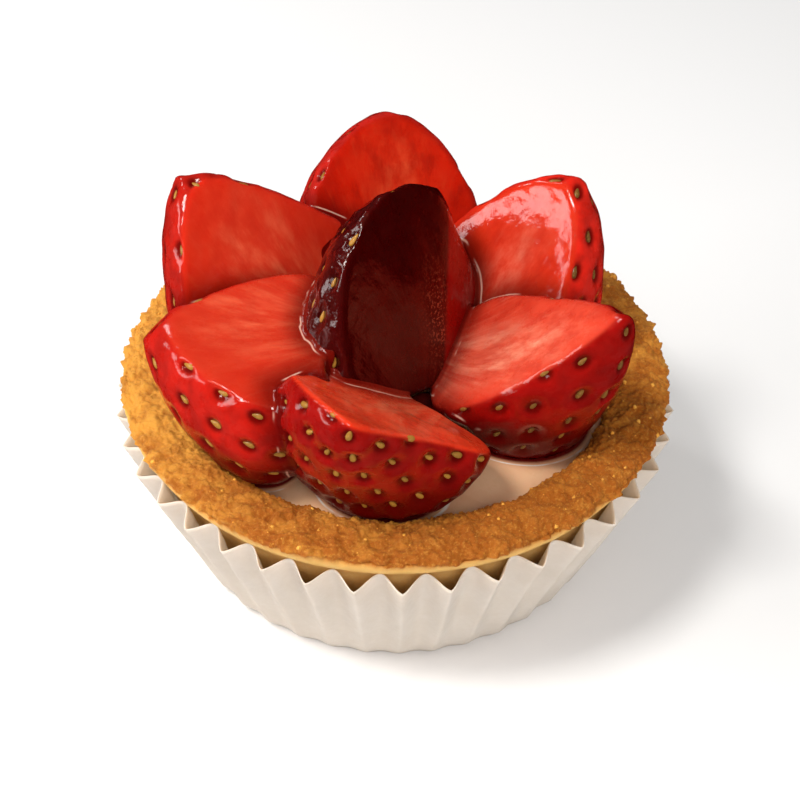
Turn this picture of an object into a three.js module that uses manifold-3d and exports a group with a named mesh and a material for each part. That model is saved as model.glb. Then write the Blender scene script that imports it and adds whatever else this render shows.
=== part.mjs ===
// A strawberry tart in its fluted paper case: a baked pastry cup with a rough rim, a filling of
// cream, and six cut strawberries laid like petals round a seventh that stands tip up in the middle.
// Millimetres, +Z up. The origin is the centre of the paper case's flat base, and the front is -Y.
import * as THREE from 'three';
import { mergeVertices } from 'three/addons/utils/BufferGeometryUtils.js';
import Module from 'manifold-3d';

const wasm = await Module();
wasm.setup();

const DEGREE = Math.PI / 180;

// ---------------------------------------------------------------- driving dimensions

const GAP = 0.3; // clearance between neighbours that touch
const WELD = 1e-3; // corners closer than this are one corner

const CASE = {
  flutes: 40,
  firstFold: 2.3 * DEGREE, // turn of the first outer fold from the front, to the right
  baseRadius: 31.2,
  innerFoldRadius: 38.6, // at the top edge
  outerFoldRadius: 41.2,
  innerFoldHeight: 25.8,
  outerFoldHeight: 24.8,
  footWave: 0.15, // share of the flutes' depth that is left at the foot
  crease: 1.5, // above 1, the outer folds are sharper than the inner ones
  paper: 0.35,
  stepsPerFlute: 4,
};

const SHELL = {
  steps: 80,
  wallTop: 27.6, // height where the smooth wall meets the rough rim
  lipHeight: 28.4,
  rimRadius: 39.9,
  rimTop: 30,
  rimRows: 8,
  rimFullness: 0.7,
  mouthRadius: 31.7, // inner edge of the rim
  mouthHeight: 27.9,
  floorRadius: 24,
  floor: 7.5, // height of the pastry's floor, under the cream
  bowlFullness: 0.6,
  bowlRows: [0.95, 0.6, 0.3, 0.1, 0], // shares of the hollow's depth
  crag: 0.55, // height of the rim's crags
  cragSize: 2.6,
};

const CREAM = {
  steps: 60,
  edgeDrop: 1.1, // how far the cream's edge lies under the mouth of the shell
  crown: 0.8, // how far its middle rises above its edge
  flatness: 5,
  topRows: [0.95, 0.75, 0.4, 0], // shares of its radius
};

const BERRY = {
  rows: 12,
  steps: 20,
  widest: 0.3, // share of the length from the stem end to the widest place
  stemRoundness: 2.6,
  tipRoundness: 0.7,
};

const SEED = {
  sides: 6,
  rings: 3,
  length: 1.5,
  width: 1,
  height: 0.34, // from the skin's curve to the seed's back
  pitch: 6.6,
  firstShare: 0.16, // shares of the berry's length that carry seeds
  lastShare: 0.93,
  margin: 1.1, // clear distance to a cut, to the cream and to the next berry
};

// Each berry is placed by its stem end. It points to `heading`, turned from +X towards +Y, and rises
// by `rise`; `roll` turns it about its own axis. A cut takes away what lies past a plane `offset`
// from the axis at half length, tilted along the berry by `lean` and turned round it by `turn`.
// `depth` is its thickness over its width, `taper` how full it is towards the tip, and `bend` how
// far its middle is pushed sideways. `trim` is cut off flat at the stem end. A berry is pressed in
// where it meets one above it in the list.
const BERRIES = {
  berry_centre: {
    ...{ stem: [-0.35, -8.35, 32.9], heading: 69, rise: 76, roll: 66.5 },
    ...{ length: 29.7, radius: 17.2, depth: 0.7, taper: 2.45, bend: 2.8, trim: 0 },
    cuts: [
      { turn: 0, offset: 2.1, lean: -0.32 },
      { turn: 19.5, offset: 4.35, lean: -0.23 },
      { turn: 57, offset: 11.8, lean: -0.53 },
    ],
    colour: 0x4a0508,
  },
  berry_front: {
    ...{ stem: [4.1, -17, 33.5], heading: -113, rise: 39, roll: -10.5 },
    ...{ length: 30, radius: 15.4, depth: 0.96, taper: 1.08, bend: 4.8, trim: 0 },
    cuts: [
      { turn: 0, offset: 0.9, lean: -0.06 },
      { turn: 60, offset: 11.4, lean: 0.1 },
    ],
    colour: 0xb3150f,
  },
  berry_front_left: {
    ...{ stem: [-8, -11.5, 36.5], heading: 183, rise: 15, roll: -4 },
    ...{ length: 27, radius: 15, depth: 1.02, taper: 1.45, bend: -2.5, trim: 3.5 },
    cuts: [{ turn: 0, offset: 6.4, lean: -0.18 }],
    colour: 0xb81a12,
  },
  berry_front_right: {
    ...{ stem: [11, -3.6, 28.2], heading: -41.5, rise: 46.5, roll: 26.5 },
    ...{ length: 36.4, radius: 11.1, depth: 1.27, taper: 1.22, bend: 1.5, trim: 0 },
    cuts: [{ turn: 0, offset: 4.6, lean: -0.18 }],
    colour: 0xc0261b,
  },
  berry_back_left: {
    ...{ stem: [-8.5, 2, 30], heading: 163, rise: 47, roll: -24 },
    ...{ length: 34.5, radius: 16.75, depth: 1.02, taper: 1.25, bend: -2.5, trim: 0 },
    cuts: [{ turn: 0, offset: 2.4, lean: 0.07 }],
    colour: 0xbf2018,
  },
  berry_back_right: {
    ...{ stem: [10.5, 3, 24.5], heading: 24, rise: 62, roll: 16 },
    ...{ length: 35, radius: 13.75, depth: 1, taper: 1.9, bend: -0.5, trim: 0 },
    cuts: [{ turn: 0, offset: 4.4, lean: -0.13 }],
    colour: 0xc93a30,
  },
  berry_back: {
    ...{ stem: [-1.4, 9.3, 32.8], heading: 90.5, rise: 27.5, roll: 22 },
    ...{ length: 32.2, radius: 14.8, depth: 0.92, taper: 1.95, bend: 0.4, trim: 0 },
    cuts: [{ turn: 0, offset: 4.3, lean: 0.06 }],
    colour: 0xc42a1c,
  },
};

// ---------------------------------------------------------------- solids and booleans

// A closed geometry as a solid that can be joined and cut. Faces with no area, such as those at the
// poles of a turned form, are dropped.
function solidOf(geometry) {
  const bare = new THREE.BufferGeometry();
  bare.setAttribute('position', geometry.getAttribute('position'));
  bare.setIndex(geometry.index);
  const merged = mergeVertices(bare, WELD);
  const triVerts = [];
  for (let i = 0; i < merged.index.count; i += 3) {
    const [a, b, c] = [0, 1, 2].map((k) => merged.index.getX(i + k));
    if (a !== b && b !== c && c !== a) triVerts.push(a, b, c);
  }
  return new wasm.Manifold(
    new wasm.Mesh({
      numProp: 3,
      vertProperties: merged.getAttribute('position').array,
      triVerts: new Uint32Array(triVerts),
    }),
  );
}

// The largest piece of a cut solid: a scrap that a cut leaves loose is dropped.
function largest(solid) {
  return solid.decompose().sort((one, other) => other.volume() - one.volume())[0];
}

function meshOf(name, solid, colour, roughness) {
  const { vertProperties, triVerts } = solid.getMesh();
  const shared = new THREE.BufferGeometry();
  shared.setAttribute('position', new THREE.BufferAttribute(new Float32Array(vertProperties), 3));
  shared.setIndex(new THREE.BufferAttribute(new Uint32Array(triVerts), 1));
  const geometry = shared.toNonIndexed();
  geometry.computeVertexNormals();
  const material = new THREE.MeshStandardMaterial({ color: colour, roughness, metalness: 0 });
  const mesh = new THREE.Mesh(geometry, material);
  mesh.name = name;
  return mesh;
}

// Moves every corner of a geometry to where `place` puts it.
function reshape(geometry, place) {
  const corners = geometry.getAttribute('position');
  const corner = new THREE.Vector3();
  for (let i = 0; i < corners.count; i++) {
    place(corner.fromBufferAttribute(corners, i));
    corners.setXYZ(i, corner.x, corner.y, corner.z);
  }
  return geometry;
}

// A closed form swept round +Z. `profileAt` gives the same number of [radius, height] points at
// every turn, from the axis at the foot, up the outside and back to the axis. A turn is counted
// from the front, to the right. A four-sided face is split along its shorter diagonal, so that the
// two faces of a thin folded wall stay side by side.
function sweptRound(steps, profileAt) {
  const rows = profileAt(0).length;
  const form = new THREE.LatheGeometry(Array(rows).fill(new THREE.Vector2(1, 0)), steps);
  const corners = form.getAttribute('position');
  for (let step = 0; step <= steps; step++) {
    const turn = (2 * Math.PI * (step % steps)) / steps;
    profileAt(turn).forEach(([radius, height], row) => {
      corners.setXYZ(step * rows + row, radius * Math.sin(turn), -radius * Math.cos(turn), height);
    });
  }
  const corner = (index) => new THREE.Vector3().fromBufferAttribute(corners, index);
  const faces = [];
  for (let step = 0; step < steps; step++) {
    for (let row = 0; row < rows - 1; row++) {
      const a = step * rows + row;
      const [b, c, d] = [a + rows, a + rows + 1, a + 1];
      const isShorter = corner(a).distanceTo(corner(c)) + WELD < corner(b).distanceTo(corner(d));
      faces.push(...(isShorter ? [a, b, c, a, c, d] : [a, b, d, c, d, b]));
    }
  }
  form.setIndex(faces);
  return form;
}

// ---------------------------------------------------------------- smooth random relief

// A fixed pseudo-random value from 0 to 1 for each lattice point.
function latticeValue(i, j, k) {
  const mixed = Math.sin(i * 127.1 + j * 311.7 + k * 74.7) * 43758.5453;
  return mixed - Math.floor(mixed);
}

// Smooth noise from -1 to 1 whose bumps are about `size` wide.
function relief(x, y, z, size) {
  const scaled = [x / size, y / size, z / size];
  const cell = scaled.map(Math.floor);
  const eased = scaled.map((value, axis) => THREE.MathUtils.smoothstep(value - cell[axis], 0, 1));
  let sum = 0;
  for (let end = 0; end < 8; end++) {
    const step = [end & 1, (end >> 1) & 1, end >> 2];
    const weight = step.reduce((part, far, axis) => part * (far ? eased[axis] : 1 - eased[axis]), 1);
    sum += weight * latticeValue(cell[0] + step[0], cell[1] + step[1], cell[2] + step[2]);
  }
  return 2 * sum - 1;
}

// ---------------------------------------------------------------- paper case

// 1 on an outer fold and 0 on an inner one.
function foldShare(turn) {
  const phase = (turn * CASE.flutes) / (2 * Math.PI);
  const fromOuterFold = 2 * Math.abs(phase - Math.round(phase));
  return (1 - fromOuterFold) ** CASE.crease;
}

// The paper's outer face at a share of the wall's height, which runs straight from foot to top.
function paperAt(share, fold) {
  const fluteDepth = CASE.outerFoldRadius - CASE.innerFoldRadius;
  const depth = fluteDepth * THREE.MathUtils.lerp(CASE.footWave, 1, share);
  const inner = THREE.MathUtils.lerp(CASE.baseRadius, CASE.innerFoldRadius, share);
  const top = THREE.MathUtils.lerp(CASE.innerFoldHeight, CASE.outerFoldHeight, fold);
  return [inner + depth * fold, top * share];
}

function paperCase() {
  const form = sweptRound(CASE.flutes * CASE.stepsPerFlute, (turn) => {
    const outside = [0, 1].map((share) => paperAt(share, foldShare(turn)));
    const inside = outside.map(([radius, height]) => [radius - CASE.paper, Math.max(height, CASE.paper)]);
    return [[0, 0], ...outside, ...inside.reverse(), [0, CASE.paper]];
  });
  return solidOf(form.rotateZ(CASE.firstFold));
}

// ---------------------------------------------------------------- pastry and cream

// The pastry's smooth outer wall stands clear of the case's inner folds.
function wallRadius(height) {
  const slope = (CASE.innerFoldRadius - CASE.baseRadius) / CASE.innerFoldHeight;
  return CASE.baseRadius - CASE.paper - GAP + slope * height;
}

// The hollow that holds the cream, from the floor (share 0) to the mouth (share 1).
function bowlAt(share, grow) {
  const radius = THREE.MathUtils.lerp(SHELL.floorRadius, SHELL.mouthRadius, share ** SHELL.bowlFullness);
  return [radius - grow, THREE.MathUtils.lerp(SHELL.floor, SHELL.mouthHeight, share)];
}

// The rough rim at a turn, from its outer edge over its crown to its inner edge.
function rimAt(turn, grow) {
  const points = [];
  for (let row = 0; row < SHELL.rimRows; row++) {
    const arc = (Math.PI * row) / (SHELL.rimRows - 1);
    const across = (1 - Math.cos(arc)) / 2;
    const radius = THREE.MathUtils.lerp(SHELL.rimRadius, SHELL.mouthRadius, across);
    const edge = THREE.MathUtils.lerp(SHELL.lipHeight, SHELL.mouthHeight, across);
    const height = edge + (SHELL.rimTop - edge) * Math.sin(arc) ** SHELL.rimFullness;
    const [x, y] = [radius * Math.sin(turn), -radius * Math.cos(turn)];
    const outward = SHELL.crag * relief(x, y, height, SHELL.cragSize);
    const upward = SHELL.crag * relief(x, y, height + SHELL.rimRadius, SHELL.cragSize);
    points.push([radius + outward - grow * across, height + upward + grow]);
  }
  return points;
}

// The pastry, or with `grow` the room that it takes from a berry that rests on it.
function pastryShell(grow = 0) {
  const foot = CASE.paper + GAP;
  const form = sweptRound(SHELL.steps, (turn) => [
    [0, foot],
    [wallRadius(foot), foot],
    [wallRadius(SHELL.wallTop), SHELL.wallTop],
    ...rimAt(turn, grow),
    ...SHELL.bowlRows.map((share) => bowlAt(share, grow)),
    [0, SHELL.floor],
  ]);
  return solidOf(form);
}

function creamFilling() {
  const highest = 1 - CREAM.edgeDrop / (SHELL.mouthHeight - SHELL.floor);
  const side = SHELL.bowlRows.map((share) => bowlAt(Math.min(share, highest), GAP)).reverse();
  side[0][1] += GAP;
  const [edgeRadius, edgeHeight] = side[side.length - 1];
  const top = CREAM.topRows.map((share) => {
    return [edgeRadius * share, edgeHeight + CREAM.crown * (1 - share ** CREAM.flatness)];
  });
  return solidOf(sweptRound(CREAM.steps, () => [[0, side[0][1]], ...side, ...top]));
}

// ---------------------------------------------------------------- berries

// Half a berry's width at a share of its length, over its widest radius.
function berryOutline(share, taper) {
  if (share < BERRY.widest) {
    return Math.sqrt(1 - (1 - share / BERRY.widest) ** BERRY.stemRoundness);
  }
  const towardsTip = (share - BERRY.widest) / (1 - BERRY.widest);
  return (1 - towardsTip ** taper) ** BERRY.tipRoundness;
}

function bendAt(berry, share) {
  return berry.bend * 4 * share * (1 - share);
}

// A berry's own frame: +X across it, +Y from its stem end to its tip, +Z out of its first cut.
function berryFrame({ stem, heading, rise, roll }) {
  const [turn, lift] = [heading * DEGREE, rise * DEGREE];
  const flat = new THREE.Vector3(Math.cos(turn), Math.sin(turn), 0);
  const axis = flat.multiplyScalar(Math.cos(lift)).setZ(Math.sin(lift));
  const out = new THREE.Vector3(0, 0, 1).addScaledVector(axis, -axis.z).normalize();
  out.applyAxisAngle(axis, roll * DEGREE);
  const across = new THREE.Vector3().crossVectors(axis, out);
  return new THREE.Matrix4().makeBasis(across, axis, out).setPosition(...stem);
}

// What a cut takes away: a slab that covers everything past the cut's plane.
function slabPast(berry, cut, grow) {
  const reach = 3 * berry.length;
  const slab = new THREE.BoxGeometry(reach, reach, reach).translate(0, 0, reach / 2);
  slab.rotateX(Math.atan(cut.lean)).translate(0, berry.length / 2, cut.offset + grow);
  return solidOf(slab.rotateY(cut.turn * DEGREE).applyMatrix4(berryFrame(berry)));
}

// What is trimmed off flat at a berry's stem end.
function stemSlab(berry, grow) {
  const reach = 3 * berry.length;
  const slab = new THREE.BoxGeometry(reach, reach, reach).translate(0, berry.trim - grow - reach / 2, 0);
  return solidOf(slab.applyMatrix4(berryFrame(berry)));
}

// A cut berry in its place, `grow` larger all round.
function cutBerry(berry, grow = 0) {
  const profile = [];
  for (let row = 0; row <= BERRY.rows; row++) {
    const share = (1 - Math.cos((Math.PI * row) / BERRY.rows)) / 2;
    const radius = (berry.radius + grow) * berryOutline(share, berry.taper);
    profile.push(new THREE.Vector2(radius, share * (berry.length + 2 * grow) - grow));
  }
  const whole = reshape(new THREE.LatheGeometry(profile, BERRY.steps), (corner) => {
    corner.x += bendAt(berry, THREE.MathUtils.clamp(corner.y / berry.length, 0, 1));
    corner.z *= berry.depth;
  });
  const solid = solidOf(whole.applyMatrix4(berryFrame(berry)));
  const trimmed = solid.subtract(stemSlab(berry, grow));
  return berry.cuts.reduce((rest, cut) => rest.subtract(slabPast(berry, cut, grow)), trimmed);
}

// How far a point in a berry's own frame lies short of a cut.
function shortOf(cut, berry, point) {
  const out = point.x * Math.sin(cut.turn * DEGREE) + point.z * Math.cos(cut.turn * DEGREE);
  return cut.offset + cut.lean * (point.y - berry.length / 2) - out;
}

function isNearBerry(berry, place, distance) {
  const point = place.clone().applyMatrix4(berryFrame(berry).invert());
  const share = point.y / berry.length;
  const spare = distance / berry.length;
  if (share < -spare || share > 1 + spare) return false;
  if (berry.cuts.some((cut) => shortOf(cut, berry, point) < -distance)) return false;
  const inside = THREE.MathUtils.clamp(share, 0, 1);
  const radius = berry.radius * berryOutline(inside, berry.taper) + distance;
  return Math.hypot(point.x - bendAt(berry, inside), point.z / berry.depth) < radius;
}

function skinAt(berry, share, around) {
  const radius = berry.radius * berryOutline(share, berry.taper);
  const across = radius * Math.cos(around) + bendAt(berry, share);
  return new THREE.Vector3(across, share * berry.length, berry.depth * radius * Math.sin(around));
}

// A seed is a flat oval, half sunk, with its length towards the tip.
function seedAt(berry, share, around) {
  const nudge = 1e-3;
  const place = skinAt(berry, share, around);
  const along = skinAt(berry, share + nudge, around).sub(place).normalize();
  const round = skinAt(berry, share, around + nudge).sub(place).normalize();
  const out = new THREE.Vector3().crossVectors(round, along).normalize();
  if (out.dot(new THREE.Vector3(Math.cos(around), 0, Math.sin(around))) < 0) out.negate();
  const across = new THREE.Vector3().crossVectors(out, along);
  const seed = new THREE.SphereGeometry(1, SEED.sides, SEED.rings);
  seed.scale(SEED.width / 2, SEED.height, SEED.length / 2);
  seed.applyMatrix4(new THREE.Matrix4().makeBasis(across, out, along).setPosition(place));
  return solidOf(seed.applyMatrix4(berryFrame(berry)));
}

// Whether a seed at this place in the tart is clear of the cream, the rim and the other berries.
function isClear(place, berry) {
  if (place.z < SHELL.mouthHeight + SEED.margin) return false;
  const isOverRim = Math.hypot(place.x, place.y) > SHELL.mouthRadius - SEED.margin;
  if (isOverRim && place.z < SHELL.rimTop + SEED.margin) return false;
  const others = Object.values(BERRIES).filter((other) => other !== berry);
  return !others.some((other) => isNearBerry(other, place, SEED.margin));
}

// The seeds of one berry, in staggered rings, wherever its skin is free.
function seedsOf(berry) {
  const seeds = [];
  const rings = Math.round((berry.length * (SEED.lastShare - SEED.firstShare)) / SEED.pitch) + 1;
  for (let ring = 0; ring < rings; ring++) {
    const share = THREE.MathUtils.lerp(SEED.firstShare, SEED.lastShare, ring / (rings - 1));
    const girth = 2 * Math.PI * berry.radius * berryOutline(share, berry.taper);
    const count = Math.max(3, Math.round(girth / SEED.pitch));
    for (let i = 0; i < count; i++) {
      const around = (2 * Math.PI * (i + (ring % 2) / 2)) / count;
      const point = skinAt(berry, share, around);
      if (point.y < berry.trim + SEED.margin) continue;
      if (berry.cuts.some((cut) => shortOf(cut, berry, point) < SEED.margin)) continue;
      if (isClear(point.applyMatrix4(berryFrame(berry)), berry)) seeds.push(seedAt(berry, share, around));
    }
  }
  return seeds;
}

// The berry with its seeds, pressed in by the rim and by the berries that it yields to.
function finishedBerry(berry, firmer, rim) {
  const pressed = firmer.reduce((rest, other) => rest.subtract(cutBerry(other, GAP)), cutBerry(berry));
  return largest(seedsOf(berry).reduce((rest, seed) => rest.add(seed), pressed.subtract(rim)));
}

// ---------------------------------------------------------------- the tart

const berries = Object.values(BERRIES);
const rim = pastryShell(GAP);
const cream = berries.reduce((rest, berry) => rest.subtract(cutBerry(berry, GAP)), creamFilling());

const tart = new THREE.Group();
tart.add(meshOf('paper_case', paperCase(), 0xe8e1d7, 0.9));
tart.add(meshOf('pastry_shell', pastryShell(), 0xd09040, 0.85));
tart.add(meshOf('cream_filling', largest(cream), 0xe6d2ba, 0.4));
Object.entries(BERRIES).forEach(([name, berry], place) => {
  tart.add(meshOf(name, finishedBerry(berry, berries.slice(0, place), rim), berry.colour, 0.25));
});

export default tart;
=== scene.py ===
"""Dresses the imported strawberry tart: fluted paper case, crumbly pastry, cream and glazed berries.

The sizes repeat those of the part's source. Forms are worked out in millimetres and stored in metres.
"""

import itertools
import math

import bpy
import numpy as np
from bpy.props import FloatProperty, FloatVectorProperty, IntProperty, PointerProperty
from bpy.types import Operator, Panel, PropertyGroup
from mathutils import Matrix


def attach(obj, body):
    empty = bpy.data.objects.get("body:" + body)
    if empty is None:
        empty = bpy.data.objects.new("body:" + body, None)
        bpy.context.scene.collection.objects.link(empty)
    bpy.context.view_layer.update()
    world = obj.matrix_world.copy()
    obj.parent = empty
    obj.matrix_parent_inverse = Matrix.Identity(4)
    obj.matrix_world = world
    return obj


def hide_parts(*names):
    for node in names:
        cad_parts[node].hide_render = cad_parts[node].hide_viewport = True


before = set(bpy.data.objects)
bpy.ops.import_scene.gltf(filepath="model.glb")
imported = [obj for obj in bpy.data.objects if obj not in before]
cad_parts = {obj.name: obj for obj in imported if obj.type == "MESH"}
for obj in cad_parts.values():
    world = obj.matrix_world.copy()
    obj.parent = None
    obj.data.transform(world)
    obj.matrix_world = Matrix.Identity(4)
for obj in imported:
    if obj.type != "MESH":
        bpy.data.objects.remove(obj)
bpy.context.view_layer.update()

bl_info = {
    "name": "Strawberry Tart",
    "version": (1, 0, 0),
    "blender": (4, 5, 0),
    "location": "View3D > Sidebar > Tart",
    "description": "Makes the looks of a strawberry tart in a fluted paper case",
    "category": "Object",
}

MM = 0.001


# --- the tart's own sizes, in millimetres

CASE_INNER_FOLD_HEIGHT = 25.8
CASE_OUTER_FOLD_HEIGHT = 24.8
CASE_INNER_FOLD_RADIUS = 38.6
CASE_OUTER_FOLD_RADIUS = 41.2
CASE_BASE_RADIUS = 31.2
CASE_FOOT_WAVE = 0.15
CASE_FOOT_ROUNDING = 0.55
CASE_FIRST_FOLD = math.radians(2.3)

PASTRY_FOOT = 0.65
WALL_TOP = 27.6
SHOULDER_START = 25.3
SHOULDER_HEIGHT = 2.0
SHOULDER_WIDTH = 1.15
LIP_HEIGHT = 28.4
RIM_RADIUS = 39.9
RIM_TOP = 30.0
RIM_FULLNESS = 0.7
MOUTH_RADIUS = 31.7
MOUTH_HEIGHT = 27.9
BOWL_FLOOR_RADIUS = 24.0
BOWL_FLOOR = 7.5
BOWL_FULLNESS = 0.6

CREAM_DROP = 1.1
CREAM_CROWN = 0.8
CREAM_FLATNESS = 5
CREAM_GAP = 0.3
GLAZE_POOL = (4.0, -10.5)
GLAZE_POOL_SWELL = 4.4
GLAZE_POOL_SPREAD = 14
# Round the glaze pool, in the gap between the berries, the cream is darkened as painted shade; near every
# berry it is darkened as juice stain and painted shade.
POOL_SHADE_SPREAD = 40
JUICE_AND_SHADE_REACH = 1.5

# Relief in layers of (height, width of the bumps).
CREAM_WAVES = ((0.12, 7.0),)
RIM_CRAGS = ((0.3, 5.2), (0.32, 2.4))
RIM_TONES = ((0.24, 2.6), (0.22, 1.3))
WALL_WAVES = ((0.05, 2.2), (0.1, 9.0))
SKIN_LUMPS = ((0.16, 5.0), (0.07, 1.9))
CUT_SWELLS = ((0.28, 7.0),)
CUT_LUMPS = ((0.06, 1.6),)
CREASE_DEPTH = 0.24
CREASE_WIDTH = 1.7
CREPE = ((0.1, 0.8),)
CREASE_STRETCH = (1.0, 0.45, 1.0)

# The rim's grain: its widths, its mean height and how much rougher it is near the lip.
GRAIN_WIDTH = 0.95
FINE_GRAIN_WIDTH = 0.48
GRAIN_MEAN = 0.42
LIP_ROUGHNESS = 0.6
LIP_ROWS = 16
# Where the rim is browned most, as an angle from the front: partly uneven baking, partly painted shade on the
# front and right, away from the key lamp.
BROWNED_AND_SHADED_MOST_AT = 0.65


def cut_berry(**own):
    """A berry's own values over those that most of the berries share."""
    usual = {
        "trim": 0, "deep": (0.1, 0.0006, 0.0005), "side": (0.5, 0.02, 0.008), "heart": 0.0,
        "seed_spread": 1.12, "wrinkle": 0.0, "gloss": 0.7, "ripple": 0.05, "speckle": 0.0,
    }
    return {**usual, **own}


# Each berry: the place of its stem end, where it points, its form and its cuts, as in the part's
# source, and then its own colours. The order is that of firmness: a berry yields to those above it.
BERRIES = {
    "berry_centre": cut_berry(
        stem=(-0.35, -8.35, 32.9), heading=69, rise=76, roll=66.5,
        length=29.7, radius=17.2, depth=0.7, taper=2.45, bend=2.8,
        cuts=((0, 2.1, -0.32), (19.5, 4.35, -0.23), (57, 11.8, -0.53)),
        skin=(0.055, 0.002, 0.002), deep=(0.03, 0.0008, 0.001), flesh=(0.04, 0.0003, 0.0003),
        edge=(0.024, 0.0002, 0.0003), pale=(0.13, 0.005, 0.002), side=(0.24, 0.001, 0.0005),
        heart=0.3, heart_width=0.45, streaks=0.8,
        seed_spread=1.35, wrinkle=1.2, gloss=0.9, ripple=0.32, speckle=0.6,
    ),
    "berry_front": cut_berry(
        stem=(4.1, -17, 33.5), heading=-113, rise=39, roll=-10.5,
        length=30, radius=15.4, depth=0.96, taper=1.08, bend=4.8,
        cuts=((0, 0.9, -0.06), (60, 11.4, 0.1)),
        skin=(0.31, 0.004, 0.003), flesh=(0.82, 0.052, 0.014), edge=(0.66, 0.024, 0.008),
        pale=(0.92, 0.24, 0.11), heart=0.1, heart_width=0.75, streaks=0.75, seed_spread=1.0, ripple=0.11,
    ),
    "berry_front_left": cut_berry(
        stem=(-8, -11.5, 36.5), heading=183, rise=15, roll=-4,
        length=27, radius=15, depth=1.02, taper=1.45, bend=-2.5, trim=3.5, cuts=((0, 6.4, -0.18),),
        skin=(0.5, 0.011, 0.006), flesh=(0.54, 0.026, 0.009), edge=(0.5, 0.018, 0.007),
        pale=(0.86, 0.17, 0.075), heart=0.1, heart_width=0.9, streaks=0.6, seed_spread=1.2, ripple=0.11,
    ),
    "berry_front_right": cut_berry(
        stem=(11, -3.6, 28.2), heading=-41.5, rise=46.5, roll=26.5,
        length=36.4, radius=11.1, depth=1.27, taper=1.22, bend=1.5, cuts=((0, 4.6, -0.18),),
        skin=(0.31, 0.004, 0.003), flesh=(0.7, 0.055, 0.024), edge=(0.46, 0.016, 0.007),
        # Its broad pale heart is partly the flesh's pale core and partly a painted highlight on the cut face.
        pale=(0.95, 0.36, 0.22), heart=0.25, heart_width=0.75, streaks=1.0,
    ),
    "berry_back_left": cut_berry(
        stem=(-8.5, 2, 30), heading=163, rise=47, roll=-24,
        length=34.5, radius=16.75, depth=1.02, taper=1.25, bend=-2.5, cuts=((0, 2.4, 0.07),),
        skin=(0.48, 0.013, 0.007), flesh=(0.66, 0.024, 0.007), edge=(0.6, 0.017, 0.007),
        pale=(0.86, 0.15, 0.065), heart_width=0.7, streaks=0.85,
    ),
    "berry_back_right": cut_berry(
        stem=(10.5, 3, 24.5), heading=24, rise=62, roll=16,
        length=35, radius=13.75, depth=1, taper=1.9, bend=-0.5, cuts=((0, 4.4, -0.13),),
        # Painted light: this berry's skin colour is raised above the others' so that its shaded side looks
        # lit.
        skin=(0.75, 0.02, 0.01), flesh=(0.68, 0.032, 0.009), edge=(0.48, 0.013, 0.005),
        pale=(0.92, 0.3, 0.18), heart_width=0.5, streaks=0.6, gloss=1.0, ripple=0.2,
    ),
    "berry_back": cut_berry(
        stem=(-1.4, 9.3, 32.8), heading=90.5, rise=27.5, roll=22,
        length=32.2, radius=14.8, depth=0.92, taper=1.95, bend=0.4, cuts=((0, 4.3, 0.06),),
        skin=(0.5, 0.016, 0.01), flesh=(0.56, 0.011, 0.002), edge=(0.3, 0.005, 0.002),
        pale=(0.82, 0.11, 0.035), heart_width=0.65, streaks=0.7, gloss=0.6,
    ),
}

# The berries' form, their seams and their skin: shares have no unit.
WIDEST = 0.3
STEM_ROUNDNESS = 2.6
TIP_ROUNDNESS = 0.7
SEAM_DEPTH = 1.2
SEAM_OVERLAP = 0.12
GLAZE_BULGE = 0.8
LUMPS_REACH = 1.1
SKIN_BLEND = 0.12
WET_DEPTH = 0.35
DIMPLE_LIP_AT = 2.0
DIMPLE_LIP_WIDTH = 0.8
DIMPLE_LIP_HEIGHT = 0.09
SPECKLE_PLACE = (4.8, 10.0)
SPECKLE_SIZE = (2.6, 6.5)
BURIED_BELOW = 15.0
SHADE_TOP = 39
SHADE_DEPTH = 8

# Where seeds grow, as shares of a berry's length, how far they stray and how far they keep off.
SEEDS_START = 0.1
SEEDS_SPAN = 0.86
STRAY_AROUND = 0.12
STRAY_ALONG = 0.014
OFF_TRIM = 0.5
OFF_CUT = 0.25
OFF_NEIGHBOUR = 0.6
OFF_PASTRY = 0.5
BELOW_MOUTH = 0.6
DIMPLE_REACH = 3.5
SEED_PROUD = 0.06

# The stage: the floor in millimetres, the places of lamps and camera in metres.
FLOOR_HALF_WIDTH = 1500.0
STUDIO_LIGHT = 0.42
LAMPS_AIM = (0.0, 0.0, 0.03)
CAMERA_AIM = (0.00077, 0.0215)
CAMERA_ROLL = math.radians(1.0)


# --- settings that a user would change

def colour(name, description, default):
    return FloatVectorProperty(
        name=name, description=description, default=default, subtype="COLOR", size=3, min=0, max=1
    )


def length(name, description, default):
    return FloatProperty(name=name, description=description, default=default, unit="LENGTH", min=0)


class TartCaseSettings(PropertyGroup):
    flutes: IntProperty(name="Flutes", description="Folds round the paper case", default=40, min=8)
    paper: length("Paper", "Thickness of the paper", 0.0002)
    waver: length("Waver", "How unevenly the folds stand", 0.0009)
    paper_colour: colour("Paper", "Colour of the baking paper", (0.76, 0.65, 0.555))


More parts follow.
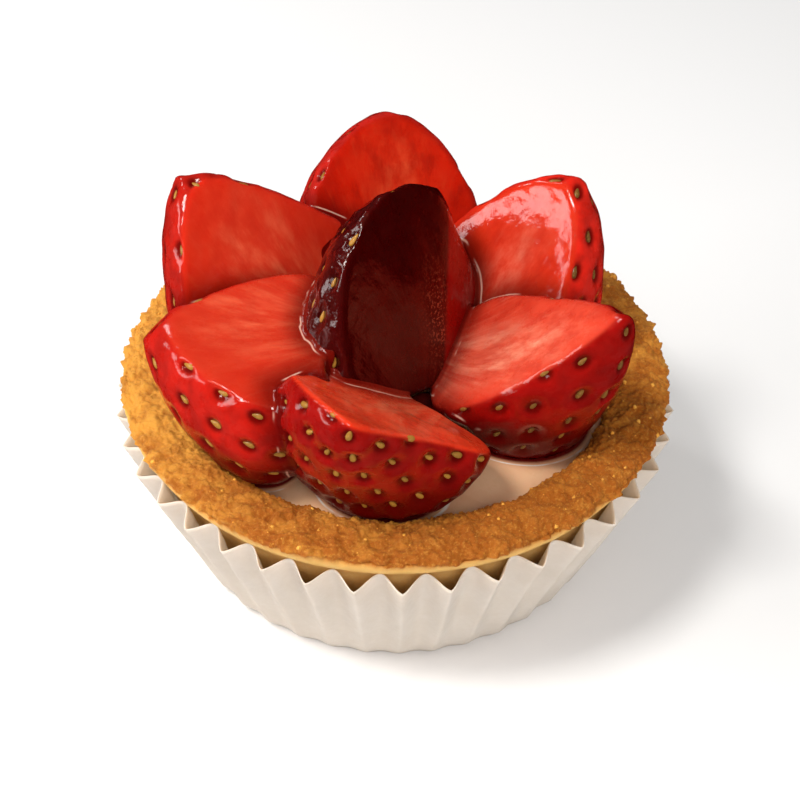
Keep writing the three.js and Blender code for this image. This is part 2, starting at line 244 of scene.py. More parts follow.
class TartPastrySettings(PropertyGroup):
    grain: length("Grain", "Height of the rim's crumbly grain", 0.00044)
    crumb_size: length("Crumb size", "Width of the largest loose crumbs", 0.0007)
    crumbs: FloatProperty(
        name="Crumbs", description="Loose crumbs for each square metre of rim", default=70000, min=0
    )
    # The rim goes from golden to browned by a mask that is partly uneven baking and partly painted shade,
    # darker on the front and right.
    golden: colour("Golden", "Colour of the rim where it is baked least", (1.0, 0.44, 0.06))
    browned: colour("Browned", "Colour of the rim where it is baked most", (0.55, 0.15, 0.012))
    # Hollow goes where the tone mask is low and blond where it is high: random dark and pale patches, plus
    # painted shade in the grain's hollows and painted highlights on its peaks.
    hollow: colour("Hollow", "Colour of the rim's hollows", (0.42, 0.1, 0.007))
    blond: colour("Blond", "Colour of the palest crumbs", (0.96, 0.48, 0.08))
    wall: colour("Wall", "Colour of the smooth side wall", (1.0, 0.65, 0.25))
    # The ledge colour is painted shade: the wall darkened just under the overhanging rim.
    ledge: colour("Ledge", "Colour of the wall just under the rim", (0.82, 0.47, 0.13))


class TartCreamSettings(PropertyGroup):
    fillet: length("Fillet", "How far the cream climbs at a berry", 0.0011)
    cream: colour("Cream", "Colour of the cream", (0.91, 0.55, 0.32))
    # The cream near the berries: partly juice stain, partly painted shade from the berries.
    juice: colour("Juice", "Colour of the cream that the berries have stained", (0.56, 0.17, 0.065))


class TartBerrySettings(PropertyGroup):
    edge: length("Edge", "How much a cut's edge is rounded", 0.0012)
    glaze: length("Glaze", "How far the glaze climbs where two berries meet", 0.0013)
    dimple: length("Dimple", "Depth of the dimple round each seed", 0.00072)
    dimple_length: length("Dimple length", "Half the length of a dimple", 0.0014)
    dimple_width: length("Dimple width", "Half the width of a dimple", 0.0011)
    seed_pitch: length("Seed pitch", "Distance from one seed to the next", 0.0041)
    seed_length: length("Seed length", "Length of a seed", 0.0018)
    seed_width: length("Seed width", "Width of a seed", 0.00084)
    seed_height: length("Seed height", "Thickness of a seed", 0.0006)
    seed_colour: colour("Seed", "Colour of the ripe seeds", (0.4, 0.185, 0.026))
    dark_seed_colour: colour("Dark seed", "Colour of the greener, darker seeds", (0.17, 0.075, 0.018))


class TartStageSettings(PropertyGroup):
    lens: FloatProperty(
        name="Lens", description="Focal length on a 36 mm sensor", default=71.8, unit="CAMERA", min=1
    )
    distance: length("Distance", "From the camera to the tart", 0.24)
    elevation: FloatProperty(
        name="Elevation", description="How steeply the camera looks down",
        default=math.radians(42.43), subtype="ANGLE", unit="ROTATION",
    )
    floor: colour("Floor", "Colour of the floor", (0.93, 0.925, 0.92))

# --- smooth random relief

def lattice_value(cell):
    mixed = np.sin(cell @ np.array([127.1, 311.7, 74.7])) * 43758.5453
    return mixed - np.floor(mixed)


def relief(points, size):
    """Smooth noise from -1 to 1 whose bumps are about `size` wide."""
    scaled = points / size
    cell = np.floor(scaled)
    eased = scaled - cell
    eased = eased * eased * (3 - 2 * eased)
    total = np.zeros(points.shape[:-1])
    for corner in itertools.product((0, 1), repeat=3):
        weight = np.prod(np.where(np.array(corner) > 0, eased, 1 - eased), axis=-1)
        total += weight * lattice_value(cell + corner)
    return 2 * total - 1


def grains(points, size):
    """Rounded grains about `size` wide: 1 on the middle of a grain and 0 far from any."""
    scaled = points / size
    cell = np.floor(scaled)
    nearest = np.full(points.shape[:-1], 9.0)
    for step in itertools.product((-1, 0, 1), repeat=3):
        other = cell + step
        spot = other + np.stack([lattice_value(other + shift) for shift in (0.0, 17.3, 41.9)], -1)
        nearest = np.minimum(nearest, ((scaled - spot) ** 2).sum(-1))
    return np.clip(1 - np.sqrt(nearest), 0, 1)


def layered(points, layers):
    """Relief in layers, each given by its height and the width of its bumps."""
    return sum(height * relief(points, width) for height, width in layers)


def smooth_max(a, b, width):
    share = np.clip(0.5 + 0.5 * (a - b) / width, 0, 1)
    return b + (a - b) * share + width * share * (1 - share)


def smooth_min(a, b, width):
    return -smooth_max(-a, -b, width)


# --- the forms as distances

def rim_height(across):
    """Height of the smooth rim at a share of the way from its outer edge to the mouth."""
    edge = LIP_HEIGHT + (MOUTH_HEIGHT - LIP_HEIGHT) * across
    arc = np.arccos(1 - 2 * across)
    return edge + (RIM_TOP - edge) * np.abs(np.sin(arc)) ** RIM_FULLNESS


def bowl_radius(height):
    share = np.clip((height - BOWL_FLOOR) / (MOUTH_HEIGHT - BOWL_FLOOR), 0, 1)
    return BOWL_FLOOR_RADIUS + (MOUTH_RADIUS - BOWL_FLOOR_RADIUS) * share**BOWL_FULLNESS


def past_pastry(points):
    """Above zero inside the pastry's rim or wall, below zero where a berry is free of them."""
    radius = np.hypot(points[..., 0], points[..., 1])
    height = points[..., 2]
    over_rim = rim_height(np.clip((RIM_RADIUS - radius) / (RIM_RADIUS - MOUTH_RADIUS), 0, 1)) - height
    in_bowl = np.where(height < MOUTH_HEIGHT, radius - bowl_radius(height), -1.0)
    return np.where(radius > MOUTH_RADIUS, over_rim, in_bowl)


class Berry:
    """One cut berry. Its own frame has X across it, Y from its stem end to its tip and Z out of
    its first cut."""

    def __init__(self, values):
        self.__dict__.update(values)
        turn, lift, roll = np.radians([self.heading, self.rise, self.roll])
        axis = np.array([math.cos(turn) * math.cos(lift), math.sin(turn) * math.cos(lift), math.sin(lift)])
        out = np.array([0, 0, 1]) - axis * axis[2]
        out /= np.linalg.norm(out)
        out = out * math.cos(roll) + np.cross(axis, out) * math.sin(roll)
        self.basis = np.array([np.cross(axis, out), axis, out])

    def local(self, points):
        return (points - np.array(self.stem)) @ self.basis.T

    def world(self, points):
        return points @ self.basis + np.array(self.stem)

    def outline(self, share):
        """Half the berry's width at a share of its length, over its widest radius."""
        share = np.clip(share, 0, 1)
        stem_side = np.sqrt(np.clip(1 - np.clip(1 - share / WIDEST, 0, 1) ** STEM_ROUNDNESS, 0, 1))
        towards_tip = np.clip((share - WIDEST) / (1 - WIDEST), 0, 1)
        tip_side = (1 - towards_tip**self.taper) ** TIP_ROUNDNESS
        return np.where(share < WIDEST, stem_side, tip_side)

    def bend_at(self, share):
        return self.bend * 4 * share * (1 - share)

    def skin_distance(self, local):
        """How far a point lies outside the uncut berry's skin."""
        share = local[..., 1] / self.length
        inside = np.clip(share, 0.002, 0.998)
        round_axis = np.hypot(local[..., 0] - self.bend_at(inside), local[..., 2] / self.depth)
        nudge = 0.01
        slope = (self.outline(inside + nudge) - self.outline(inside - nudge)) / (2 * nudge)
        steepness = np.sqrt(1 + np.clip(slope * self.radius / self.length, -6, 6) ** 2)
        gap = (round_axis - self.radius * self.outline(inside)) / steepness
        past_end = np.abs(share - inside) * self.length
        return np.where(past_end > 0, np.hypot(np.maximum(gap, 0), past_end), gap)

    def cut_distances(self, local):
        """How far a point lies past each cut."""
        found = []
        for turn, offset, lean in self.cuts:
            angle = math.radians(turn)
            out = local[..., 0] * math.sin(angle) + local[..., 2] * math.cos(angle)
            found.append((out - offset - lean * (local[..., 1] - self.length / 2)) / math.hypot(1, lean))
        return found

    def plain_distance(self, points):
        """Distance to the cut berry with sharp edges and smooth skin."""
        local = self.local(points)
        return np.max([self.skin_distance(local), self.trim - local[..., 1], *self.cut_distances(local)], 0)

    def skin_point(self, share, around):
        radius = self.radius * self.outline(share)
        across = radius * np.cos(around) + self.bend_at(share)
        return np.stack([across, share * self.length, self.depth * radius * np.sin(around)], -1)


def berries_with_firmer():
    """Each berry's name, its form and the forms of the berries that it yields to."""
    forms = {name: Berry(values) for name, values in BERRIES.items()}
    firmer = list(forms.values())
    return [(name, form, firmer[:place]) for place, (name, form) in enumerate(forms.items())]


def lumpy_distance(points, berry, edge):
    """Distance to one cut berry with its lumpy skin and softly rounded cuts."""
    local = berry.local(points)
    whole = berry.skin_distance(local) + layered(local, SKIN_LUMPS)
    if berry.wrinkle:
        drawn = local * np.array(CREASE_STRETCH)
        creases = CREASE_DEPTH * np.abs(relief(drawn, CREASE_WIDTH))
        whole = whole + berry.wrinkle * (creases + layered(drawn, CREPE))
    for number, cut in enumerate(berry.cut_distances(local)):
        lumps = layered(local + 50 * number, CUT_SWELLS) + layered(local, CUT_LUMPS)
        whole = smooth_max(whole, cut + lumps, edge)
    return smooth_max(whole, berry.trim - local[..., 1], edge)


def joined_distance(own, others, points, glaze):
    """A berry's own distance joined with those of the firmer berries: glaze fills the crease where
    they meet. The form ends a little inside them and inside the pastry, so that no seam shows."""
    whole = own
    for gap in others:
        whole = smooth_min(whole, gap + SEAM_OVERLAP, glaze)
    whole = np.maximum(whole, own - GLAZE_BULGE * glaze)
    for gap in others:
        whole = np.maximum(whole, -SEAM_DEPTH - gap)
    return np.maximum(whole, past_pastry(points) - SEAM_DEPTH)


def dressed_distance(points, berry, firmer, edge, glaze):
    """Distance to a berry as it lies on the tart."""
    own = lumpy_distance(points, berry, edge)
    return joined_distance(own, [lumpy_distance(points, other, edge) for other in firmer], points, glaze)


def sampled_distance(points, berry, firmer, edge, glaze):
    """The same distance, with the lumps left out wherever the surface is far."""
    others = [other.plain_distance(points) for other in firmer]
    values = joined_distance(berry.plain_distance(points), others, points, glaze)
    near = np.abs(values) < LUMPS_REACH
    values[near] = dressed_distance(points[near], berry, firmer, edge, glaze)
    return values


# --- seeds on the skin

def seed_places(berry, others, pitch, rng):
    """The seeds of one berry, in staggered rings, wherever its skin is free: places, outward
    directions and directions to the tip."""
    found = []
    rings = round(berry.length * SEEDS_SPAN / pitch) + 1
    nudge = 1e-3
    for ring in range(rings):
        share = SEEDS_START + SEEDS_SPAN * ring / (rings - 1)
        count = max(3, round(2 * math.pi * berry.radius * float(berry.outline(share)) / pitch))
        for step in range(count):
            stray = rng.uniform(-STRAY_AROUND, STRAY_AROUND)
            around = 2 * math.pi * (step + 0.5 * (ring % 2) + stray) / count
            here = share + rng.uniform(-STRAY_ALONG, STRAY_ALONG)
            spot = berry.skin_point(here, around)
            along = berry.skin_point(here + nudge, around) - spot
            out = np.cross(berry.skin_point(here, around + nudge) - spot, along)
            out /= np.linalg.norm(out)
            if out @ np.array([math.cos(around), 0, math.sin(around)]) < 0:
                out = -out
            place = berry.world(spot)
            cut_away = spot[1] < berry.trim + OFF_TRIM or max(berry.cut_distances(spot)) > -OFF_CUT
            pressed = any(other.plain_distance(place[None])[0] < OFF_NEIGHBOUR for other in others)
            sunk = past_pastry(place[None])[0] > -OFF_PASTRY or place[2] < MOUTH_HEIGHT - BELOW_MOUTH
            if not (cut_away or pressed or sunk):
                found.append((place, out @ berry.basis, along / np.linalg.norm(along) @ berry.basis))
    return [np.array(values) for values in zip(*found)]


def all_seeds(settings):
    rng = np.random.default_rng(7)
    forms = {name: form for name, form, _ in berries_with_firmer()}
    pitch = settings.seed_pitch / MM
    found = {}
    for name, form in forms.items():
        others = [other for other in forms.values() if other is not form]
        found[name] = seed_places(form, others, form.seed_spread * pitch, rng)
    return found


def nearness(points, seeds, length, width):
    """How close each point lies to a seed, in half lengths and half widths of a seed's dimple."""
    closest = np.full(len(points), 9.0)
    for place, out, along in zip(*seeds):
        near = np.flatnonzero(np.abs(points - place).max(1) < DIMPLE_REACH)
        away = points[near] - place
        here = np.sqrt((away @ along / length) ** 2 + (away @ np.cross(out, along) / width) ** 2
                       + (away @ out / width) ** 2)
        closest[near] = np.minimum(closest[near], here)
    return closest


# --- meshes

def new_object(name, corners, faces, material):
    """A smooth-shaded mesh object from corners in millimetres."""
    mesh = bpy.data.meshes.new(name)
    mesh.from_pydata((np.asarray(corners) * MM).tolist(), [], [tuple(face) for face in faces])
    mesh.polygons.foreach_set("use_smooth", np.ones(len(mesh.polygons), bool))
    mesh.update()
    mesh.materials.append(material)
    piece = bpy.data.objects.new(name, mesh)
    bpy.context.scene.collection.objects.link(piece)
    return piece


def store(piece, **fields):
    """Keeps a value or a vector for each corner, by the names that the material reads."""
    for name, values in fields.items():
        values = np.asarray(values, np.float32)
        kind, field = ("FLOAT", "value") if values.ndim == 1 else ("FLOAT_VECTOR", "vector")
        piece.data.attributes.new(name, kind, "POINT").data.foreach_set(field, values.ravel())


def corner_normals(corners, faces):
    """Outward directions at the corners of four-sided faces."""
    a, b, c, d = (corners[faces[:, k]] for k in range(4))
    flat = np.cross(c - a, d - b)
    normals = np.zeros_like(corners)
    for k in range(4):
        np.add.at(normals, faces[:, k], flat)
    return normals / np.maximum(np.linalg.norm(normals, axis=1, keepdims=True), 1e-12)


def surface_net(values, low, pitch):
    """Even four-sided faces over the form where gridded values are below zero."""
    cells = np.array(values.shape) - 1

    def window(start):
        return values[tuple(slice(first, first + count) for first, count in zip(start, cells))]

    total, hits = np.zeros((*cells, 3)), np.zeros(cells)
    for axis in range(3):
        for corner in itertools.product((0, 1), repeat=3):
            if corner[axis]:
                continue
            here, there = window(corner), window(np.array(corner) + np.eye(3, dtype=int)[axis])
            crossed = (here < 0) != (there < 0)
            share = here[crossed] / (here[crossed] - there[crossed])
            total[crossed] += np.array(corner) + share[:, None] * np.eye(3)[axis]
            hits += crossed
    used = hits > 0
    corners = low + pitch * (np.argwhere(used) + total[used] / hits[used][:, None])
    number = np.full(used.shape, -1)
    number[used] = np.arange(len(corners))
    faces = []
    for axis in range(3):
        one, other = (np.eye(3, dtype=int)[k] for k in range(3) if k != axis)
        inside = values < 0
        ends = [np.take(inside, range(first, first + cells[axis]), axis) for first in (0, 1)]
        edges = np.argwhere(ends[0] != ends[1])
        ring = np.stack([number[tuple((edges - shift).T)] for shift in (one + other, other, 0 * one, one)], 1)
        flip = ends[0][tuple(edges.T)] == (axis == 1)
        faces.append(np.where(flip[:, None], ring[:, ::-1], ring))
    return corners, np.concatenate(faces)


def meshed_berry(berry, firmer, edge, glaze, pitch):
    """Corners and faces of a berry as it lies on the tart."""
    widest = berry.radius * max(1, berry.depth) + abs(berry.bend) + 1
    ends = berry.world(np.array([[x, y, z] for x in (-widest, widest) for y in (-1, berry.length + 1)
                                 for z in (-widest, widest)]))
    low, high = ends.min(0), ends.max(0)
    low[2] = max(low[2], BURIED_BELOW)
    counts = np.ceil((high - low) / pitch).astype(int) + 1
    grid = low + pitch * np.stack(np.meshgrid(*map(np.arange, counts), indexing="ij"), -1)
    corners, faces = surface_net(sampled_distance(grid, berry, firmer, edge, glaze), low, pitch)
    for _ in range(3):
        gap = dressed_distance(corners, berry, firmer, edge, glaze)
        corners = corners - corner_normals(corners, faces) * np.clip(gap, -0.4 * pitch, 0.4 * pitch)[:, None]
    return corners, faces


def lathe(rows, steps):
    """Faces of a closed form swept round Z: the first and last rows are single corners."""
    faces = []
    last = 1 + (rows - 2) * steps
    for step in range(steps):
        after = (step + 1) % steps
        faces.append((0, 1 + after, 1 + step))
        faces.append((last, 1 + (rows - 3) * steps + step, 1 + (rows - 3) * steps + after))
        for row in range(rows - 3):
            here = 1 + row * steps
            faces.append((here + step, here + after, here + steps + after, here + steps + step))
    return faces


def ring_directions(steps):
    """Angles round the tart from its front, and the directions out along them."""
    turns = 2 * math.pi * np.arange(steps) / steps
    return turns, np.stack([np.sin(turns), -np.cos(turns)], -1)


# --- node trees

class Wiring:
    """Adds nodes to a tree and joins them: an input takes a value or another node's output."""

    def __init__(self, tree):
        self.tree = tree

    def add(self, kind, inputs=None, **settings):
        """A new node's outputs."""
        node = self.tree.nodes.new(kind)
        for key, value in settings.items():
            setattr(node, key, value)
        self.feed(node.inputs, inputs or {})
        return node.outputs

    def feed(self, sockets, values):
        """Gives inputs their values; a colour may be given as three numbers."""
        for key, value in values.items():
            if isinstance(value, bpy.types.NodeSocket):
                self.tree.links.new(value, sockets[key])
            elif sockets[key].type == "RGBA":
                sockets[key].default_value = (*value[:3], 1.0)
            else:
                sockets[key].default_value = value

    def math(self, operation, a, b=0.5, c=0.5, clamp=False):
        return self.add("ShaderNodeMath", {0: a, 1: b, 2: c}, operation=operation, use_clamp=clamp)[0]

    def times(self, a, b):
        return self.math("MULTIPLY", a, b)

    def vector(self, operation, a, b=(0, 0, 0), **scale):
        return self.add("ShaderNodeVectorMath", {0: a, 1: b, **scale}, operation=operation)["Vector"]

    def mix(self, share, a, b):
        return self.add("ShaderNodeMix", {0: share, 6: a, 7: b}, data_type="RGBA")[2]

    def blend(self, share, a, b):
        return self.add("ShaderNodeMix", {0: share, 2: a, 3: b}, data_type="FLOAT")[0]

    def step(self, value, low, high, to_low=0.0, to_high=1.0):
        inputs = {"Value": value, "From Min": low, "From Max": high, "To Min": to_low, "To Max": to_high}
        return self.add("ShaderNodeMapRange", inputs, interpolation_type="SMOOTHSTEP")["Result"]

    def noise(self, vector, scale, detail=3.0, roughness=0.55):
        inputs = {"Vector": vector, "Scale": scale, "Detail": detail, "Roughness": roughness}
        return self.add("ShaderNodeTexNoise", inputs)["Fac"]

    def attribute(self, name, output="Fac"):
        return self.add("ShaderNodeAttribute", attribute_name=name)[output]

    def bump(self, height, distance, strength=1.0, **normal):
        inputs = {"Height": height, "Distance": distance, "Strength": strength, **normal}
        return self.add("ShaderNodeBump", inputs)["Normal"]

    def group(self, make, **inputs):
        """The outputs of a shader group, which is wired once and then used again."""
        name = "Tart " + make.__name__.replace("_", " ")
        shared = bpy.data.node_groups.get(name) or make(name)
        inputs = {key.replace("_", " "): value for key, value in inputs.items()}
        return self.add("ShaderNodeGroup", inputs, node_tree=shared)

    def grain(self, vector, size, sharpness=0.0):
        return self.group(fine_grain, Vector=vector, Size=size, Sharpness=sharpness)


def new_tree(name, kind, inputs, outputs):
    """A node group with named sockets: an input is given by its default, or by its kind where it
    has none."""
    tree = bpy.data.node_groups.new(name, kind)
    kinds = {float: "Float", int: "Int", tuple: "Color"}
    for label, value in inputs.items():
        socket = kinds.get(type(value), value)
        item = tree.interface.new_socket(label, in_out="INPUT", socket_type="NodeSocket" + socket)
        if socket is not value:
            item.default_value = value
    for label, socket in outputs.items():
        tree.interface.new_socket(label, in_out="OUTPUT", socket_type="NodeSocket" + socket)
    start = tree.nodes.new("NodeGroupInput").outputs
    end = tree.nodes.new("NodeGroupOutput").inputs
    return tree, Wiring(tree), start, end


def fine_grain(name):
    """Fine grain for baked and paper surfaces: a mask and a height."""
    tree, w, start, end = new_tree(
        name, "ShaderNodeTree",
        {"Vector": "Vector", "Size": 0.001, "Sharpness": 0.5}, {"Mask": "Float", "Height": "Float"},
    )
    scale = w.math("DIVIDE", 1.0, start["Size"])
    broad = w.noise(start["Vector"], scale, 4.0, 0.62)
    inputs = {"Vector": start["Vector"], "Scale": scale, "Randomness": 1.0}
    cells = w.add("ShaderNodeTexVoronoi", inputs, feature="SMOOTH_F1")["Distance"]
    rounded = w.math("SUBTRACT", 1.0, cells, clamp=True)
    w.feed(end, {"Height": w.blend(start["Sharpness"], broad, rounded), "Mask": w.step(broad, 0.34, 0.66)})
    return tree


def wet_film(name):
    """The slow swells and small ripples of a thin glaze: a height and a roughness."""
    tree, w, start, end = new_tree(
        name, "ShaderNodeTree",
        {"Vector": "Vector", "Swell": 0.004, "Ripple": 0.05, "Dry": 0.3, "Wet": 0.12},
        {"Height": "Float", "Roughness": "Float"},
    )
    scale = w.math("DIVIDE", 1.0, start["Swell"])
    swell = w.noise(start["Vector"], scale, 2.0, 0.5)
    ripple = w.noise(start["Vector"], w.times(scale, 5.0), 3.0, 0.6)
    patches = w.step(w.noise(start["Vector"], w.times(scale, 1.7), 3.0, 0.6), 0.42, 0.6)
    w.feed(end, {
        "Height": w.math("MULTIPLY_ADD", ripple, start["Ripple"], swell),
        "Roughness": w.blend(patches, start["Wet"], start["Dry"]),
    })
    return tree


def berry_flesh(name):
    """A cut berry's colour and fine relief, from where each point lies on it."""
    red = (0.5, 0.05, 0.03, 1)
    tree, w, start, end = new_tree(
        name, "ShaderNodeTree",
        {"skin": red, "deep": red, "flesh": red, "edge": red, "pale": red, "side": red,
         "heart": 0.0, "heart width": 0.5, "streaks": 0.5},
        {"Color": "Color", "Height": "Float"},
    )
    fan = w.attribute("berry_fan", "Vector")
    across, along, _ = w.add("ShaderNodeSeparateXYZ", {"Vector": w.attribute("berry_place", "Vector")})
    skin = w.attribute("berry_skin")
    seam = w.attribute("berry_seam")
    spot = w.add("ShaderNodeTexCoord")["Object"]

    veins = w.noise(w.vector("MULTIPLY", fan, (7.0, 0.5, 1.0)), 1.0, 5.0, 0.62)
    fibres = w.noise(w.vector("MULTIPLY", fan, (30.0, 1.1, 1.0)), 1.0, 3.0, 0.6)
    cloud = w.noise(spot, 260.0, 3.0, 0.5)
    off_heart = w.math("ABSOLUTE", w.math("SUBTRACT", across, start["heart"]))
    heart = w.times(w.step(off_heart, start["heart width"], 0.0), w.step(along, 0.98, 0.55))
    pale_share = w.times(heart, w.math("MULTIPLY_ADD", w.step(veins, 0.4, 0.72), 0.8, 0.12))
    pale_share = w.math("MULTIPLY", pale_share, start["streaks"], clamp=True)
    flesh = w.mix(w.step(cloud, 0.35, 0.75, 0.0, 0.5), start["flesh"], start["edge"])
    flesh = w.mix(w.step(veins, 0.5, 0.26, 0.0, 0.7), flesh, start["edge"])
    flesh = w.mix(pale_share, flesh, start["pale"])
    flesh = w.mix(w.times(w.step(fibres, 0.5, 0.85, 0.0, 0.16), start["streaks"]), flesh, start["pale"])
    flesh = w.mix(w.step(w.attribute("berry_depth"), 0.0, 1.5, 0.5, 0.0), flesh, start["edge"])
    dots = w.step(w.noise(spot, 2400.0, 2.0, 0.6), 0.53, 0.62)
    flesh = w.mix(w.times(dots, w.attribute("berry_speckle")), flesh, (0.42, 0.075, 0.035))
    flesh = w.mix(w.attribute("berry_side"), flesh, start["side"])

    blotch = w.step(w.noise(spot, 330.0, 3.0, 0.55), 0.36, 0.68)
    peel = w.mix(w.times(blotch, 0.35), start["skin"], start["deep"])
    # Painted shade: the skin darkens towards the bottom, where less light falls.
    peel = w.mix(w.step(w.attribute("berry_low"), 0.0, 0.8, 0.0, 0.92), peel, start["deep"])
    # Painted shade in each seed's dimple.
    peel = w.mix(w.step(w.attribute("berry_dimple"), 0.18, 0.65, 0.0, 0.85), peel, start["deep"])
    # Painted shade in the creases: the colour darkens within 5 mm of a firmer berry.
    whole = w.mix(w.step(seam, 5.0, 0.2, 0.0, 0.78), w.mix(skin, flesh, peel), start["deep"])
    # A painted highlight: a thin pale line about 0.8 mm from a firmer berry, at the glaze's edge, broken up by
    # noise.
    glaze_edge_glint = w.times(w.step(seam, 0.62, 0.8), w.step(seam, 1.02, 0.84))
    broken = w.step(w.noise(spot, 210.0, 2.0, 0.5), 0.44, 0.56, 0.0, 0.6)
    cut_height = w.math("ADD", w.times(fibres, 0.5), w.times(veins, 0.7))
    pores = w.times(w.noise(spot, 2600.0, 2.0, 0.5), 0.35)
    w.feed(end, {
        "Color": w.mix(w.times(glaze_edge_glint, broken), whole, (0.9, 0.55, 0.42)),
        "Height": w.blend(skin, cut_height, pores),
    })
    return tree


def new_material(name, fixed):
    """A material with its own Principled shader; `fixed` holds the values that don't vary."""
    material = bpy.data.materials.new(name)
    material.use_nodes = True
    w = Wiring(material.node_tree)
    into = material.node_tree.nodes["Principled BSDF"].inputs
    w.feed(into, fixed)
    return material, w, into, w.add("ShaderNodeTexCoord")["Object"]


def shaded(base, *shares):
    """A colour with each channel brought down to a share of itself."""
    return tuple(channel * share for channel, share in zip(base, shares))


# --- finishes

BAKED = {
    "Specular IOR Level": 0.3, "Subsurface Weight": 0.1, "Subsurface Radius": (1.0, 0.5, 0.2),
    "Subsurface Scale": 0.001,
}


def paper_finish(settings):
    material, w, into, spot = new_material("White baking paper", {
        "Specular IOR Level": 0.3, "Subsurface Weight": 0.5, "Subsurface Radius": (1.0, 0.9, 0.8),
        "Subsurface Scale": 0.0008,
    })
    fibres, clouds = w.grain(spot, 0.0009, 0.15), w.grain(spot, 0.007)
    shade = shaded(settings.paper_colour, 0.9, 0.88, 0.85)
    tint = w.mix(w.times(clouds["Mask"], 0.5), settings.paper_colour, shade)
    w.feed(into, {
        "Base Color": w.mix(w.times(fibres["Mask"], 0.18), tint, shade),
        "Roughness": w.blend(fibres["Mask"], 0.5, 0.68),
        "Normal": w.bump(fibres["Height"], 0.00006, 0.6),
    })
    return material


def pastry_finish(settings):
    material, w, into, spot = new_material("Baked shortcrust", BAKED)
    rough, lift = w.attribute("pastry_rough"), w.attribute("pastry_tone_and_grain_shading")
    coarse, fine = w.grain(spot, 0.0026, 0.3), w.grain(spot, 0.00038, 0.6)
    # Golden to browned: random uneven baking, plus painted shade that browns the front and right, away from
    # the key lamp.
    browning_and_shade = w.math("MULTIPLY_ADD", coarse["Mask"], 0.5, w.attribute("pastry_browning_and_shade"))
    rim = w.mix(w.step(browning_and_shade, 0.1, 1.1), settings.golden, settings.browned)
    # Darker where the tone mask is low and paler where it is high: random tone, plus painted shade in the
    # grain's hollows and painted highlights on its peaks.
    rim = w.mix(w.step(lift, 0.1, 0.5, 0.4, 1.0), settings.hollow, rim)
    rim = w.mix(w.step(lift, 0.6, 1.0, 0.0, 0.25), rim, settings.blond)
    rim = w.mix(w.step(w.noise(spot, 2300.0, 3.0, 0.7), 0.5, 0.7, 0.0, 0.45), rim, settings.blond)
    side = w.mix(w.times(coarse["Mask"], 0.35), settings.wall, shaded(settings.wall, 0.82, 0.72, 0.6))
    side = w.mix(w.times(fine["Mask"], 0.2), side, settings.blond)
    # Painted shade on the wall just under the rim's lip.
    side = w.mix(w.attribute("pastry_shaded_ledge"), side, settings.ledge)
    height = w.math("MULTIPLY_ADD", fine["Height"], 0.35, w.noise(spot, 1500.0, 6.0, 0.8))
    w.feed(into, {
        "Base Color": w.mix(rough, side, rim),
        "Roughness": w.blend(fine["Mask"], 0.62, 0.85),
        "Normal": w.bump(height, 0.0006, w.blend(rough, 0.12, 1.0)),
    })
    return material


def crumb_finish(settings):
    material, w, into, spot = new_material("Pastry crumbs", BAKED)
    coarse, fine = w.grain(spot, 0.0012), w.grain(spot, 0.0004, 0.6)
    tint = w.mix(coarse["Mask"], settings.golden, settings.blond)
    w.feed(into, {
        "Base Color": w.mix(w.times(fine["Mask"], 0.35), tint, settings.browned),
        "Roughness": w.blend(fine["Mask"], 0.6, 0.85),
        "Normal": w.bump(fine["Height"], 0.00012),
    })
    return material


def cream_finish(settings):
    material, w, into, spot = new_material("Pastry cream under glaze", {
        "Subsurface Weight": 0.25, "Subsurface Radius": (1.0, 0.6, 0.4), "Subsurface Scale": 0.0015,
        "Coat Weight": 0.5, "Coat Roughness": 0.08, "Specular IOR Level": 0.2,
    })
    stain_and_shade = w.attribute("cream_juice")
    film = w.group(wet_film, Vector=spot, Swell=0.005, Dry=0.42, Wet=0.25)
    dull = shaded(settings.cream, 0.93, 0.86, 0.8)
    tint = w.mix(w.times(w.grain(spot, 0.006)["Mask"], 0.3), settings.cream, dull)
    # Redder and darker near the berries: juice stain, plus painted shade from the berries.
    tint = w.mix(w.step(stain_and_shade, 0.12, 0.75, 0.0, 0.55), tint, settings.juice)
    # Painted shade: near black-red right at the berries' feet and in the dark gap round the glaze pool.
    tint = w.mix(w.step(stain_and_shade, 0.56, 0.8), tint, (0.14, 0.006, 0.004))
    # A painted highlight: a thin pale line about a millimetre from the berries, broken up by noise, where the
    # glaze's edge catches the light.
    line = w.times(w.step(stain_and_shade, 0.47, 0.51), w.step(stain_and_shade, 0.57, 0.53))
    broken = w.step(w.noise(spot, 190.0, 2.0, 0.5), 0.4, 0.52, 0.0, 0.8)
    w.feed(into, {
        "Base Color": w.mix(w.times(line, broken), tint, (0.95, 0.86, 0.76)),
        "Roughness": film["Roughness"],
        "Normal": w.bump(film["Height"], 0.0002, 0.5),
    })
    return material


def berry_finish(name, values):
    material, w, into, spot = new_material(name.replace("_", " ").capitalize() + " finish", {
        "Subsurface Weight": 0.22, "Subsurface Radius": (1.0, 0.18, 0.1), "Subsurface Scale": 0.0016,
        "Coat Roughness": 0.05, "Coat IOR": 1.42,
        "Specular IOR Level": 0.09, "Specular Tint": (1.0, 0.42, 0.26),
    })
    parts = ("skin", "deep", "flesh", "edge", "pale", "side", "heart", "heart_width", "streaks")
    flesh = w.group(berry_flesh, **{part: values[part] for part in parts})
    film = w.group(wet_film, Vector=spot, Swell=0.0035, Ripple=values["ripple"], Dry=0.46, Wet=0.24)
    wet = w.step(w.attribute("berry_wet"), 0.1, 0.8, 0.0, 0.7)
    fine = w.bump(flesh["Height"], 0.00011, 0.8)
    w.feed(into, {
        "Base Color": w.mix(wet, flesh["Color"], values["deep"]),
        "Roughness": film["Roughness"],
        "Coat Weight": w.step(w.attribute("berry_low"), 0.1, 0.75, values["gloss"], 0.12),
        "Normal": fine,
        "Coat Normal": w.bump(film["Height"], 0.00035, 0.6, Normal=fine),
    })
    return material


